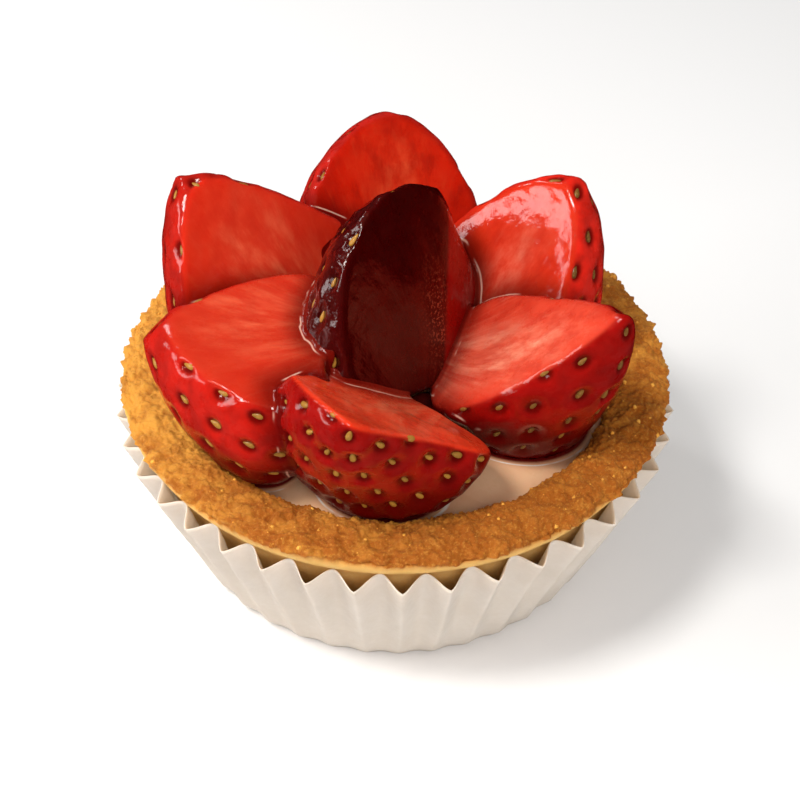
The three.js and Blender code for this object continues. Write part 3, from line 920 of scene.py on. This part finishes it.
def seed_finish(settings):
    material, w, into, spot = new_material(
        "Strawberry seeds", {"Coat Weight": 0.3, "Coat Roughness": 0.1, "Specular IOR Level": 0.2},
    )
    tint = w.mix(w.attribute("seed_tone"), settings.seed_colour, settings.dark_seed_colour)
    fine = w.noise(spot, 3500.0, 3.0, 0.6)
    w.feed(into, {
        "Base Color": w.mix(w.step(fine, 0.5, 0.75, 0.0, 0.4), tint, (0.62, 0.36, 0.08)),
        "Roughness": w.blend(fine, 0.25, 0.5),
        "Normal": w.bump(fine, 0.00004),
    })
    return material


def floor_finish(settings):
    material, w, into, spot = new_material("Pale floor", {"Specular IOR Level": 0.2})
    cloud = w.noise(spot, 6.0, 2.0, 0.5)
    w.feed(into, {
        "Base Color": w.mix(cloud, settings.floor, shaded(settings.floor, 0.985, 0.985, 0.985)),
        "Roughness": w.blend(cloud, 0.65, 0.75),
        "Normal": w.bump(w.noise(spot, 900.0), 0.00005, 0.2),
    })
    return material


# --- geometry node trees

def grown(name, source, tree, values):
    """The plain mesh that a geometry node tree makes of a source mesh, as a new object."""
    modifier = source.modifiers.new("Growth", "NODES")
    modifier.node_group = tree
    for item in tree.interface.items_tree:
        if item.item_type == "SOCKET" and item.in_out == "INPUT" and item.name in values:
            modifier[item.identifier] = values[item.name]
    mesh = bpy.data.meshes.new_from_object(source.evaluated_get(bpy.context.evaluated_depsgraph_get()))
    source.modifiers.remove(modifier)
    mesh.name = name
    piece = bpy.data.objects.new(name, mesh)
    bpy.context.scene.collection.objects.link(piece)
    return piece


def drop(piece):
    mesh = piece.data
    bpy.data.objects.remove(piece)
    bpy.data.meshes.remove(mesh)


def growth_tree(name, inputs):
    """A geometry node tree that takes a mesh and a material, and returns a mesh."""
    sockets = {"Geometry": "Geometry", **inputs, "Material": "Material"}
    return new_tree(name, "GeometryNodeTree", sockets, {"Geometry": "Geometry"})


def placed(w, points, piece, **inputs):
    """Copies of a piece on points, as real meshes."""
    inputs = {"Points": points, "Instance": piece, **inputs}
    copies = w.add("GeometryNodeInstanceOnPoints", inputs)[0]
    return w.add("GeometryNodeRealizeInstances", {"Geometry": copies})[0]


def shifted(w, geometry, **shift):
    """A geometry with its corners moved, smooth-shaded."""
    geometry = w.add("GeometryNodeSetPosition", {"Geometry": geometry, **shift})[0]
    return w.add("GeometryNodeSetShadeSmooth", {"Geometry": geometry, "Shade Smooth": True})[0]


def finish_tree(w, start, end, geometry):
    inputs = {"Geometry": geometry, "Material": start["Material"]}
    w.feed(end, {"Geometry": w.add("GeometryNodeSetMaterial", inputs)[0]})


def soft_shift(w, **inputs):
    """Soft random shifts to all sides."""
    noise = w.add("ShaderNodeTexNoise", {"Detail": 2.0, **inputs})["Color"]
    return w.vector("SUBTRACT", noise, (0.5, 0.5, 0.5))


def flute_tree():
    """Sets one flute round the case as often as asked and lets the folds waver a little."""
    tree, w, start, end = growth_tree(
        "Fluted case", {"Flutes": 40, "First fold": 0.0, "Waver": 0.001, "Height": 0.025}
    )
    points = w.add("GeometryNodePoints", {"Count": start["Flutes"]})[0]
    index = w.add("GeometryNodeInputIndex")[0]
    turn = w.math("MULTIPLY_ADD", index, w.math("DIVIDE", math.tau, start["Flutes"]), start["First fold"])
    whole = placed(w, points, start["Geometry"], Rotation=w.add("ShaderNodeCombineXYZ", {"Z": turn})[0])
    whole = w.add("GeometryNodeMergeByDistance", {"Geometry": whole, "Distance": 5e-6})[0]
    spot = w.add("GeometryNodeInputPosition")[0]
    height = w.add("ShaderNodeSeparateXYZ", {"Vector": spot})["Z"]
    share = w.math("DIVIDE", height, start["Height"], clamp=True)
    shift = w.vector("MULTIPLY", soft_shift(w, Vector=spot, Scale=95.0), (1.0, 1.0, 0.7))
    shift = w.vector("SCALE", shift, Scale=w.times(share, start["Waver"]))
    finish_tree(w, start, end, shifted(w, whole, Offset=shift))
    return tree


def seed_tree():
    """Lays a small teardrop on every point, turned by the point's own directions."""
    tree, w, start, end = growth_tree(
        "Seeds", {"Length": 0.0014, "Width": 0.0009, "Height": 0.0006, "Seed": 3}
    )
    ball = w.add("GeometryNodeMeshUVSphere", {"Segments": 12, "Rings": 8, "Radius": 0.5})[0]
    spot = w.add("GeometryNodeInputPosition")[0]
    x, y, z = w.add("ShaderNodeSeparateXYZ", {"Vector": spot})
    narrow = w.math("MULTIPLY_ADD", y, -0.75, 0.9)
    teardrop = w.add("ShaderNodeCombineXYZ", {
        "X": w.times(x, w.times(narrow, start["Width"])),
        "Y": w.times(y, start["Length"]),
        "Z": w.times(z, w.times(narrow, start["Height"])),
    })[0]

    def direction(name):
        return w.add("GeometryNodeInputNamedAttribute", {"Name": name}, data_type="FLOAT_VECTOR")["Attribute"]

    axes = {"Primary Axis": direction("seed_out"), "Secondary Axis": direction("seed_along")}
    rotation = w.add("FunctionNodeAxesToRotation", axes, primary_axis="Z", secondary_axis="Y")[0]
    sizes = {2: 0.82, 3: 1.16, "Seed": start["Seed"]}
    scale = w.add("FunctionNodeRandomValue", sizes, data_type="FLOAT")[1]
    seed = shifted(w, ball, Position=teardrop)
    finish_tree(w, start, end, placed(w, start["Geometry"], seed, Rotation=rotation, Scale=scale))
    return tree


def crumb_tree():
    """Scatters small lumpy crumbs over the rough part of the pastry."""
    tree, w, start, end = growth_tree("Crumbs", {"Density": 300000.0, "Size": 0.001, "Seed": 5})
    rough = w.add("GeometryNodeInputNamedAttribute", {"Name": "pastry_rough"}, data_type="FLOAT")["Attribute"]
    points = w.add("GeometryNodeDistributePointsOnFaces", {
        "Mesh": start["Geometry"], "Selection": w.math("GREATER_THAN", rough, 0.6),
        "Density": start["Density"], "Seed": start["Seed"],
    })["Points"]
    ball = w.add("GeometryNodeMeshIcoSphere", {"Radius": 0.5, "Subdivisions": 2})[0]
    crumb = shifted(w, ball, Offset=w.vector("SCALE", soft_shift(w, Scale=1.7), Scale=1.1))
    shares = {2: 0.0, 3: 1.0, "Seed": start["Seed"]}
    share = w.add("FunctionNodeRandomValue", shares, data_type="FLOAT")[1]
    scale = w.times(w.math("MULTIPLY_ADD", w.math("POWER", share, 3.0), 0.7, 0.3), start["Size"])
    turns = {0: (0, 0, 0), 1: (6.28, 6.28, 6.28), "Seed": start["Seed"]}
    turn = w.add("FunctionNodeRandomValue", turns, data_type="FLOAT_VECTOR")[0]
    finish_tree(w, start, end, placed(w, points, crumb, Rotation=turn, Scale=scale))
    return tree


# --- operators

class TART_OT_paper_case(Operator):
    """Folds the paper case from one flute"""

    bl_idname = "tart.paper_case"
    bl_label = "Paper case"

    def execute(self, context):
        settings = context.scene.tart_case
        half = math.pi / settings.flutes
        steps, rows = 20, 26
        paper = settings.paper / MM
        turns = np.linspace(-half, half, steps + 1)
        soft = 0.04
        crease = (1 + soft - np.hypot(turns / half, soft)) ** 2
        fold = 0.3 * (1 + np.cos(math.pi * turns / half)) + 0.4 * crease
        depth = CASE_OUTER_FOLD_RADIUS - CASE_INNER_FOLD_RADIUS
        top = CASE_INNER_FOLD_HEIGHT + (CASE_OUTER_FOLD_HEIGHT - CASE_INNER_FOLD_HEIGHT) * fold
        corners = []
        for inward in (0.0, paper):
            for share in np.linspace(0, 1, rows) ** 0.85:
                wave = depth * (CASE_FOOT_WAVE + (1 - CASE_FOOT_WAVE) * share)
                foot = CASE_FOOT_ROUNDING * math.exp(-((share / 0.03) ** 2))
                inner = CASE_BASE_RADIUS + (CASE_INNER_FOLD_RADIUS - CASE_BASE_RADIUS) * share
                radius = inner + wave * fold - inward - foot
                height = np.maximum(top * share, inward)
                corners.append(np.stack([radius * np.sin(turns), -radius * np.cos(turns), height], -1))
        corners = np.concatenate([*corners, [[0, 0, 0], [0, 0, paper]]])
        row, wall = steps + 1, rows * (steps + 1)
        faces = []
        for step in range(steps):
            for level in range(rows - 1):
                here = level * row + step
                faces.append((here, here + 1, here + row + 1, here + row))
                faces.append((wall + here + 1, wall + here, wall + here + row, wall + here + row + 1))
            edge = (rows - 1) * row + step
            faces.append((edge, edge + 1, wall + edge + 1, wall + edge))
            faces.append((2 * wall, step + 1, step))
            faces.append((2 * wall + 1, wall + step, wall + step + 1))
        material = paper_finish(settings)
        flute = new_object("one_flute", corners, faces, material)
        case = grown("folded_case", flute, flute_tree(), {
            "Flutes": settings.flutes, "First fold": CASE_FIRST_FOLD, "Waver": settings.waver,
            "Height": CASE_INNER_FOLD_HEIGHT * MM, "Material": material,
        })
        drop(flute)
        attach(case, "root")
        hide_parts("paper_case")
        return {"FINISHED"}


class TART_OT_pastry(Operator):
    """Bakes the pastry shell with its crumbly rim, and scatters loose crumbs on it"""

    bl_idname = "tart.pastry"
    bl_label = "Pastry shell"

    def execute(self, context):
        settings = context.scene.tart_pastry
        steps, rim_rows, wall_rows, bowl_rows = 1000, 66, 20, 14
        slope = (CASE_INNER_FOLD_RADIUS - CASE_BASE_RADIUS) / CASE_INNER_FOLD_HEIGHT
        wall = np.linspace(PASTRY_FOOT, WALL_TOP, wall_rows)
        shoulder = np.sin(0.5 * math.pi * np.clip((wall - SHOULDER_START) / SHOULDER_HEIGHT, 0, 1))
        wall_radius = CASE_BASE_RADIUS - PASTRY_FOOT + slope * wall + SHOULDER_WIDTH * shoulder
        across = (1 - np.cos(np.linspace(0, math.pi, rim_rows))) / 2
        bowl = BOWL_FLOOR + (MOUTH_HEIGHT - BOWL_FLOOR) * np.linspace(1, 0, bowl_rows + 1)[1:]
        profile = np.concatenate([
            np.stack([wall_radius, wall], -1),
            np.stack([RIM_RADIUS + (MOUTH_RADIUS - RIM_RADIUS) * across, rim_height(across)], -1),
            np.stack([bowl_radius(bowl), bowl], -1),
        ])
        ahead = np.roll(profile, -1, 0) - np.roll(profile, 1, 0)
        ahead[0], ahead[-1] = profile[1] - profile[0], profile[-1] - profile[-2]
        out = np.stack([ahead[:, 1], -ahead[:, 0]], -1)
        out /= np.linalg.norm(out, axis=1, keepdims=True)
        count = len(profile)
        past_lip = np.arange(count) - wall_rows
        rough = np.clip((past_lip + 1) / 3, 0, 1) * np.clip((2 - (past_lip - rim_rows)) / 4, 0, 1)
        # Rows just under the rim, which the material darkens as painted shade.
        ledge = np.clip((past_lip + 4) / 3, 0, 1) * (past_lip < 20)

        turns, around = ring_directions(steps)
        flat = profile[:, None, 0, None] * around[None]
        corners = np.concatenate([flat, np.broadcast_to(profile[:, None, 1:], (count, steps, 1))], -1)
        grain_height = grains(corners, GRAIN_WIDTH) - GRAIN_MEAN
        crumb = grain_height * 1.2 + 0.75 * relief(corners, 1.25)
        crumb = crumb * (1 + LIP_ROUGHNESS * np.exp(-((past_lip / LIP_ROWS) ** 2)))[:, None]
        fine = (grains(corners + 9, FINE_GRAIN_WIDTH) - GRAIN_MEAN) * 1.1
        mask = rough[:, None]
        out_move = mask * settings.grain / MM * (crumb + fine) + (1 - mask) * layered(corners, WALL_WAVES)
        sideways = mask * layered(corners, RIM_CRAGS) + out_move * out[:, None, 0]
        upward = mask * layered(corners + np.array([0, 0, RIM_RADIUS]), RIM_CRAGS) + out_move * out[:, None, 1]
        moved = corners + np.concatenate([around[None] * sideways[..., None], upward[..., None]], -1)
        closed = np.concatenate([[[0, 0, PASTRY_FOOT]], moved.reshape(-1, 3), [[0, 0, BOWL_FLOOR]]])
        shell = new_object("baked_shell", closed, lathe(count + 2, steps), pastry_finish(settings))

        # Random tone plus a share of the grain's height, which paints shade into the hollows and highlights
        # onto the peaks.
        lift = 0.5 + layered(corners, RIM_TONES) + 0.3 * grain_height
        # Browner towards the front right: random uneven baking, plus painted shade on the side away from the
        # key lamp.
        browning_and_shade = 0.4 + 0.4 * np.cos(turns - BROWNED_AND_SHADED_MOST_AT) + 0.25 * relief(corners, 14.0)
        fields = {
            "pastry_rough": (np.repeat(rough, steps), 0), "pastry_shaded_ledge": (np.repeat(ledge, steps), 0),
            "pastry_tone_and_grain_shading": (lift.ravel(), 0.5), "pastry_browning_and_shade": (browning_and_shade.ravel(), 0.5),
        }
        store(shell, **{name: [middle, *values, middle] for name, (values, middle) in fields.items()})
        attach(shell, "root")
        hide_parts("pastry_shell")

        crumbs = grown("loose_crumbs", shell, crumb_tree(), {
            "Density": settings.crumbs, "Size": settings.crumb_size, "Seed": 5,
            "Material": crumb_finish(settings),
        })
        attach(crumbs, "root")
        return {"FINISHED"}


class TART_OT_cream(Operator):
    """Fills the shell with cream that climbs a little at the berries"""

    bl_idname = "tart.cream"
    bl_label = "Cream filling"

    def execute(self, context):
        settings = context.scene.tart_cream
        steps, rows, rise = 460, 74, 0.2
        fillet = settings.fillet / MM
        level = MOUTH_HEIGHT - CREAM_DROP
        edge = float(bowl_radius(level)) - CREAM_GAP
        forms = [berry for _, berry, _ in berries_with_firmer()]

        def nearest(points):
            return np.min([berry.plain_distance(points) for berry in forms], 0)

        def off_pool(points):
            return ((points - np.array(GLAZE_POOL)) ** 2).sum(-1)

        _, around = ring_directions(steps)
        shares = np.linspace(1, 0, rows + 1)[:-1] ** 0.8
        flat = (edge * shares)[:, None, None] * around[None]
        plain = level + CREAM_CROWN * (1 - shares**CREAM_FLATNESS)[:, None]
        plain = plain + layered(np.concatenate([flat, np.zeros((rows, steps, 1))], -1), CREAM_WAVES)
        plain = plain + GLAZE_POOL_SWELL * np.exp(-off_pool(flat) / GLAZE_POOL_SPREAD)
        top = np.full((rows, steps), np.nan)
        before = None
        for height in np.arange(BURIED_BELOW, 33, rise):
            points = np.concatenate([flat, np.full((rows, steps, 1), height)], -1)
            gap = nearest(points)
            here = np.maximum(smooth_min(height - plain, gap, fillet), 0.05 - gap)
            if before is not None:
                crossed = (before <= 0) & (here > 0) & np.isnan(top)
                share = np.where(crossed, before / np.where(crossed, before - here, 1), 0)
                top = np.where(crossed, height - rise + rise * share, top)
            before = here
        top = np.where(np.isnan(top), np.minimum(plain, BURIED_BELOW), top)
        surface = np.concatenate([flat, top[..., None]], -1)
        low, foot = BOWL_FLOOR + CREAM_GAP, []
        for height in np.linspace(BOWL_FLOOR, level, 9)[:-1]:
            height = max(height, low)
            ring = (float(bowl_radius(height)) - CREAM_GAP) * around
            foot.append(np.concatenate([ring, np.full((steps, 1), height)], -1))
        corners = np.concatenate([[[0, 0, low]], *foot, surface.reshape(-1, 3), [[0, 0, top[-1].mean()]]])
        cream = new_object("glazed_cream", corners, lathe(len(foot) + rows + 2, steps), cream_finish(settings))
        # Juice stain and painted shade near the berries, and painted shade in the gap round the glaze pool.
        juice = np.exp(-np.maximum(nearest(corners), 0) / JUICE_AND_SHADE_REACH)
        store(cream, cream_juice=np.maximum(juice, np.exp(-off_pool(corners[:, :2]) / POOL_SHADE_SPREAD)))
        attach(cream, "root")
        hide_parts("cream_filling")
        return {"FINISHED"}


class TART_OT_berries(Operator):
    """Cuts the seven berries and glazes them"""

    bl_idname = "tart.berries"
    bl_label = "Berries"

    def execute(self, context):
        settings = context.scene.tart_berry
        pitch = 0.3
        edge, glaze, dimple_depth = settings.edge / MM, settings.glaze / MM, settings.dimple / MM
        seeds = all_seeds(settings)
        for name, berry, firmer in berries_with_firmer():
            corners, faces = meshed_berry(berry, firmer, edge, glaze, pitch)
            own = lumpy_distance(corners, berry, edge)
            local = berry.local(corners)
            skin_gap = berry.skin_distance(local)
            first_cut, *more_cuts = berry.cut_distances(local)
            cut_gap = np.max([first_cut, *more_cuts], 0)
            skin = 1 / (1 + np.exp(np.clip((cut_gap - skin_gap) / SKIN_BLEND, -40, 40)))
            closest = nearness(corners, seeds[name], settings.dimple_length / MM, settings.dimple_width / MM)
            dimple = np.exp(-(closest**2))
            lip = np.exp(-(((closest - DIMPLE_LIP_AT) / DIMPLE_LIP_WIDTH) ** 2))
            sink = skin * (dimple_depth * dimple - DIMPLE_LIP_HEIGHT * lip)
            corners = corners - corner_normals(corners, faces) * sink[:, None]
            finish = berry_finish(name, BERRIES[name])
            piece = new_object(name.replace("berry", "glazed_berry"), corners, faces, finish)

            far = np.full(len(corners), 9.0)
            share = local[:, 1] / berry.length
            off_axis, along = local[:, 0] - berry.bend_at(share), local[:, 1] - 0.3 * berry.length
            fan = np.arctan2(off_axis, along + 0.45 * berry.length)
            spread = 0.25 * np.hypot(off_axis, along)
            off_speckle = (local[:, :2] - np.array(SPECKLE_PLACE)) / np.array(SPECKLE_SIZE)
            side_gap = np.max([-far, *more_cuts], 0)
            store(
                piece,
                berry_place=np.stack([local[:, 0] / berry.radius, share, local[:, 2] / berry.radius], -1),
                berry_fan=np.stack([fan, spread, 0 * fan], -1),
                berry_skin=skin,
                berry_depth=np.maximum(-skin_gap, 0),
                # The dimples' mask, which the material uses for painted shade in them.
                berry_dimple=dimple * skin,
                berry_wet=np.clip(own / WET_DEPTH, 0, 1),
                # How low each point lies: the material darkens the skin there as painted shade, and thins the
                # coat.
                berry_low=np.clip((SHADE_TOP - corners[:, 2]) / SHADE_DEPTH, 0, 1),
                # Distance to the firmer berries, which the material uses for painted crease shade and a
                # painted glint line.
                berry_seam=np.min([far, *(lumpy_distance(corners, other, edge) for other in firmer)], 0),
                berry_speckle=berry.speckle * np.exp(-(off_speckle**2).sum(-1)),
                berry_side=np.clip((side_gap - first_cut) / 0.3 + 0.5, 0, 1),
            )
            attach(piece, "root")
            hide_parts(name)
        return {"FINISHED"}


class TART_OT_seeds(Operator):
    """Sets a seed in every dimple of the berries' skin"""

    bl_idname = "tart.seeds"
    bl_label = "Seeds"

    def execute(self, context):
        settings = context.scene.tart_berry
        rng = np.random.default_rng(11)
        found = all_seeds(settings)
        usual_tone = 0.15
        dark = {"berry_front_right": 0.75, "berry_back_right": 0.75, "berry_back": 0.6, "berry_centre": 0.1}
        tones = [np.clip(rng.normal(dark.get(name, usual_tone), 0.18, len(places)), 0, 1)
                 for name, (places, _, _) in found.items()]
        places, outs, alongs = (np.concatenate([values[k] for values in found.values()]) for k in range(3))
        material = seed_finish(settings)
        points = new_object("seed_points", places - outs * (settings.dimple / MM - SEED_PROUD), [], material)
        store(points, seed_out=outs, seed_along=alongs, seed_tone=np.concatenate(tones))
        seeds = grown("seeds", points, seed_tree(), {
            "Length": settings.seed_length, "Width": settings.seed_width, "Height": settings.seed_height,
            "Seed": 3, "Material": material,
        })
        drop(points)
        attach(seeds, "root")
        return {"FINISHED"}


def soft_light(name, place, size, power, tint=(1, 1, 1)):
    """A rectangular lamp turned to the tart."""
    lamp = bpy.data.lights.new(name, "AREA")
    lamp.shape = "RECTANGLE"
    lamp.size, lamp.size_y = size
    lamp.energy = power
    lamp.color = tint
    stand = bpy.data.objects.new(name, lamp)
    bpy.context.scene.collection.objects.link(stand)
    back = np.array(place) - np.array(LAMPS_AIM)
    back /= np.linalg.norm(back)
    side = np.cross((0, 0, 1), back)
    side /= np.linalg.norm(side)
    turned = Matrix(np.array([side, np.cross(back, side), back]).T.tolist()).to_4x4()
    stand.matrix_world = Matrix.Translation(place) @ turned
    return stand


class TART_OT_stage(Operator):
    """Sets up the pale floor, the soft studio light and the camera"""

    bl_idname = "tart.stage"
    bl_label = "Stage"

    def execute(self, context):
        settings = context.scene.tart_stage
        half = FLOOR_HALF_WIDTH
        floor = new_object(
            "floor", [(-half, -half, 0), (half, -half, 0), (half, half, 0), (-half, half, 0)],
            [(0, 1, 2, 3)], floor_finish(settings),
        )
        floor.visible_glossy = False

        soft_light("key", (-0.172, -0.1, 0.4), (0.1, 0.1), 1.1, (1.0, 0.98, 0.95))
        soft_light("side_sheen", (-0.46, -0.07, 0.245), (0.3, 0.13), 1.0)
        soft_light("back_edge", (-0.243, 0.243, 0.32), (0.05, 0.12), 0.25)
        fill = soft_light("front_fill", (0.14, -0.45, 0.34), (0.5, 0.3), 1.25)
        fill.visible_glossy = False

        world = bpy.data.worlds.new("studio")
        world.use_nodes = True
        Wiring(world.node_tree).feed(
            world.node_tree.nodes["Background"].inputs, {"Color": (1, 1, 1), "Strength": STUDIO_LIGHT}
        )
        world.cycles_visibility.glossy = False
        context.scene.world = world
        context.scene.view_settings.view_transform = "Standard"

        lens = bpy.data.cameras.new("camera")
        lens.lens = settings.lens
        lens.sensor_width = 36
        lens.clip_start = 0.01
        camera = bpy.data.objects.new("camera", lens)
        context.scene.collection.objects.link(camera)
        tilt = Matrix.Rotation(math.pi / 2 - settings.elevation, 4, "X")
        aside, up = CAMERA_AIM
        place = Matrix.Translation((
            aside, -settings.distance * math.cos(settings.elevation),
            up + settings.distance * math.sin(settings.elevation),
        ))
        camera.matrix_world = place @ tilt @ Matrix.Rotation(CAMERA_ROLL, 4, "Z")
        context.scene.camera = camera
        return {"FINISHED"}


class TART_PT_panel(Panel):
    """Lists the pieces of the tart"""

    bl_label = "Strawberry Tart"
    bl_idname = "TART_PT_panel"
    bl_space_type = "VIEW_3D"
    bl_region_type = "UI"
    bl_category = "Tart"

    def draw(self, context):
        for operator, group in PIECES:
            box = self.layout.box()
            box.operator(operator.bl_idname)
            settings = getattr(context.scene, group)
            for name in settings.__annotations__:
                box.prop(settings, name)


PIECES = (
    (TART_OT_paper_case, "tart_case"),
    (TART_OT_pastry, "tart_pastry"),
    (TART_OT_cream, "tart_cream"),
    (TART_OT_berries, "tart_berry"),
    (TART_OT_seeds, "tart_berry"),
    (TART_OT_stage, "tart_stage"),
)
GROUPS = {
    "tart_case": TartCaseSettings,
    "tart_pastry": TartPastrySettings,
    "tart_cream": TartCreamSettings,
    "tart_berry": TartBerrySettings,
    "tart_stage": TartStageSettings,
}


def register():
    for name, group in GROUPS.items():
        bpy.utils.register_class(group)
        setattr(bpy.types.Scene, name, PointerProperty(type=group))
    for operator, _ in PIECES:
        bpy.utils.register_class(operator)
    bpy.utils.register_class(TART_PT_panel)


def unregister():
    bpy.utils.unregister_class(TART_PT_panel)
    for operator, _ in reversed(PIECES):
        bpy.utils.unregister_class(operator)
    for name, group in reversed(GROUPS.items()):
        delattr(bpy.types.Scene, name)
        bpy.utils.unregister_class(group)


def main():
    register()
    bpy.ops.tart.paper_case()
    bpy.ops.tart.pastry()
    bpy.ops.tart.cream()
    bpy.ops.tart.berries()
    bpy.ops.tart.seeds()
    bpy.ops.tart.stage()


if __name__ == "__main__":
    main()
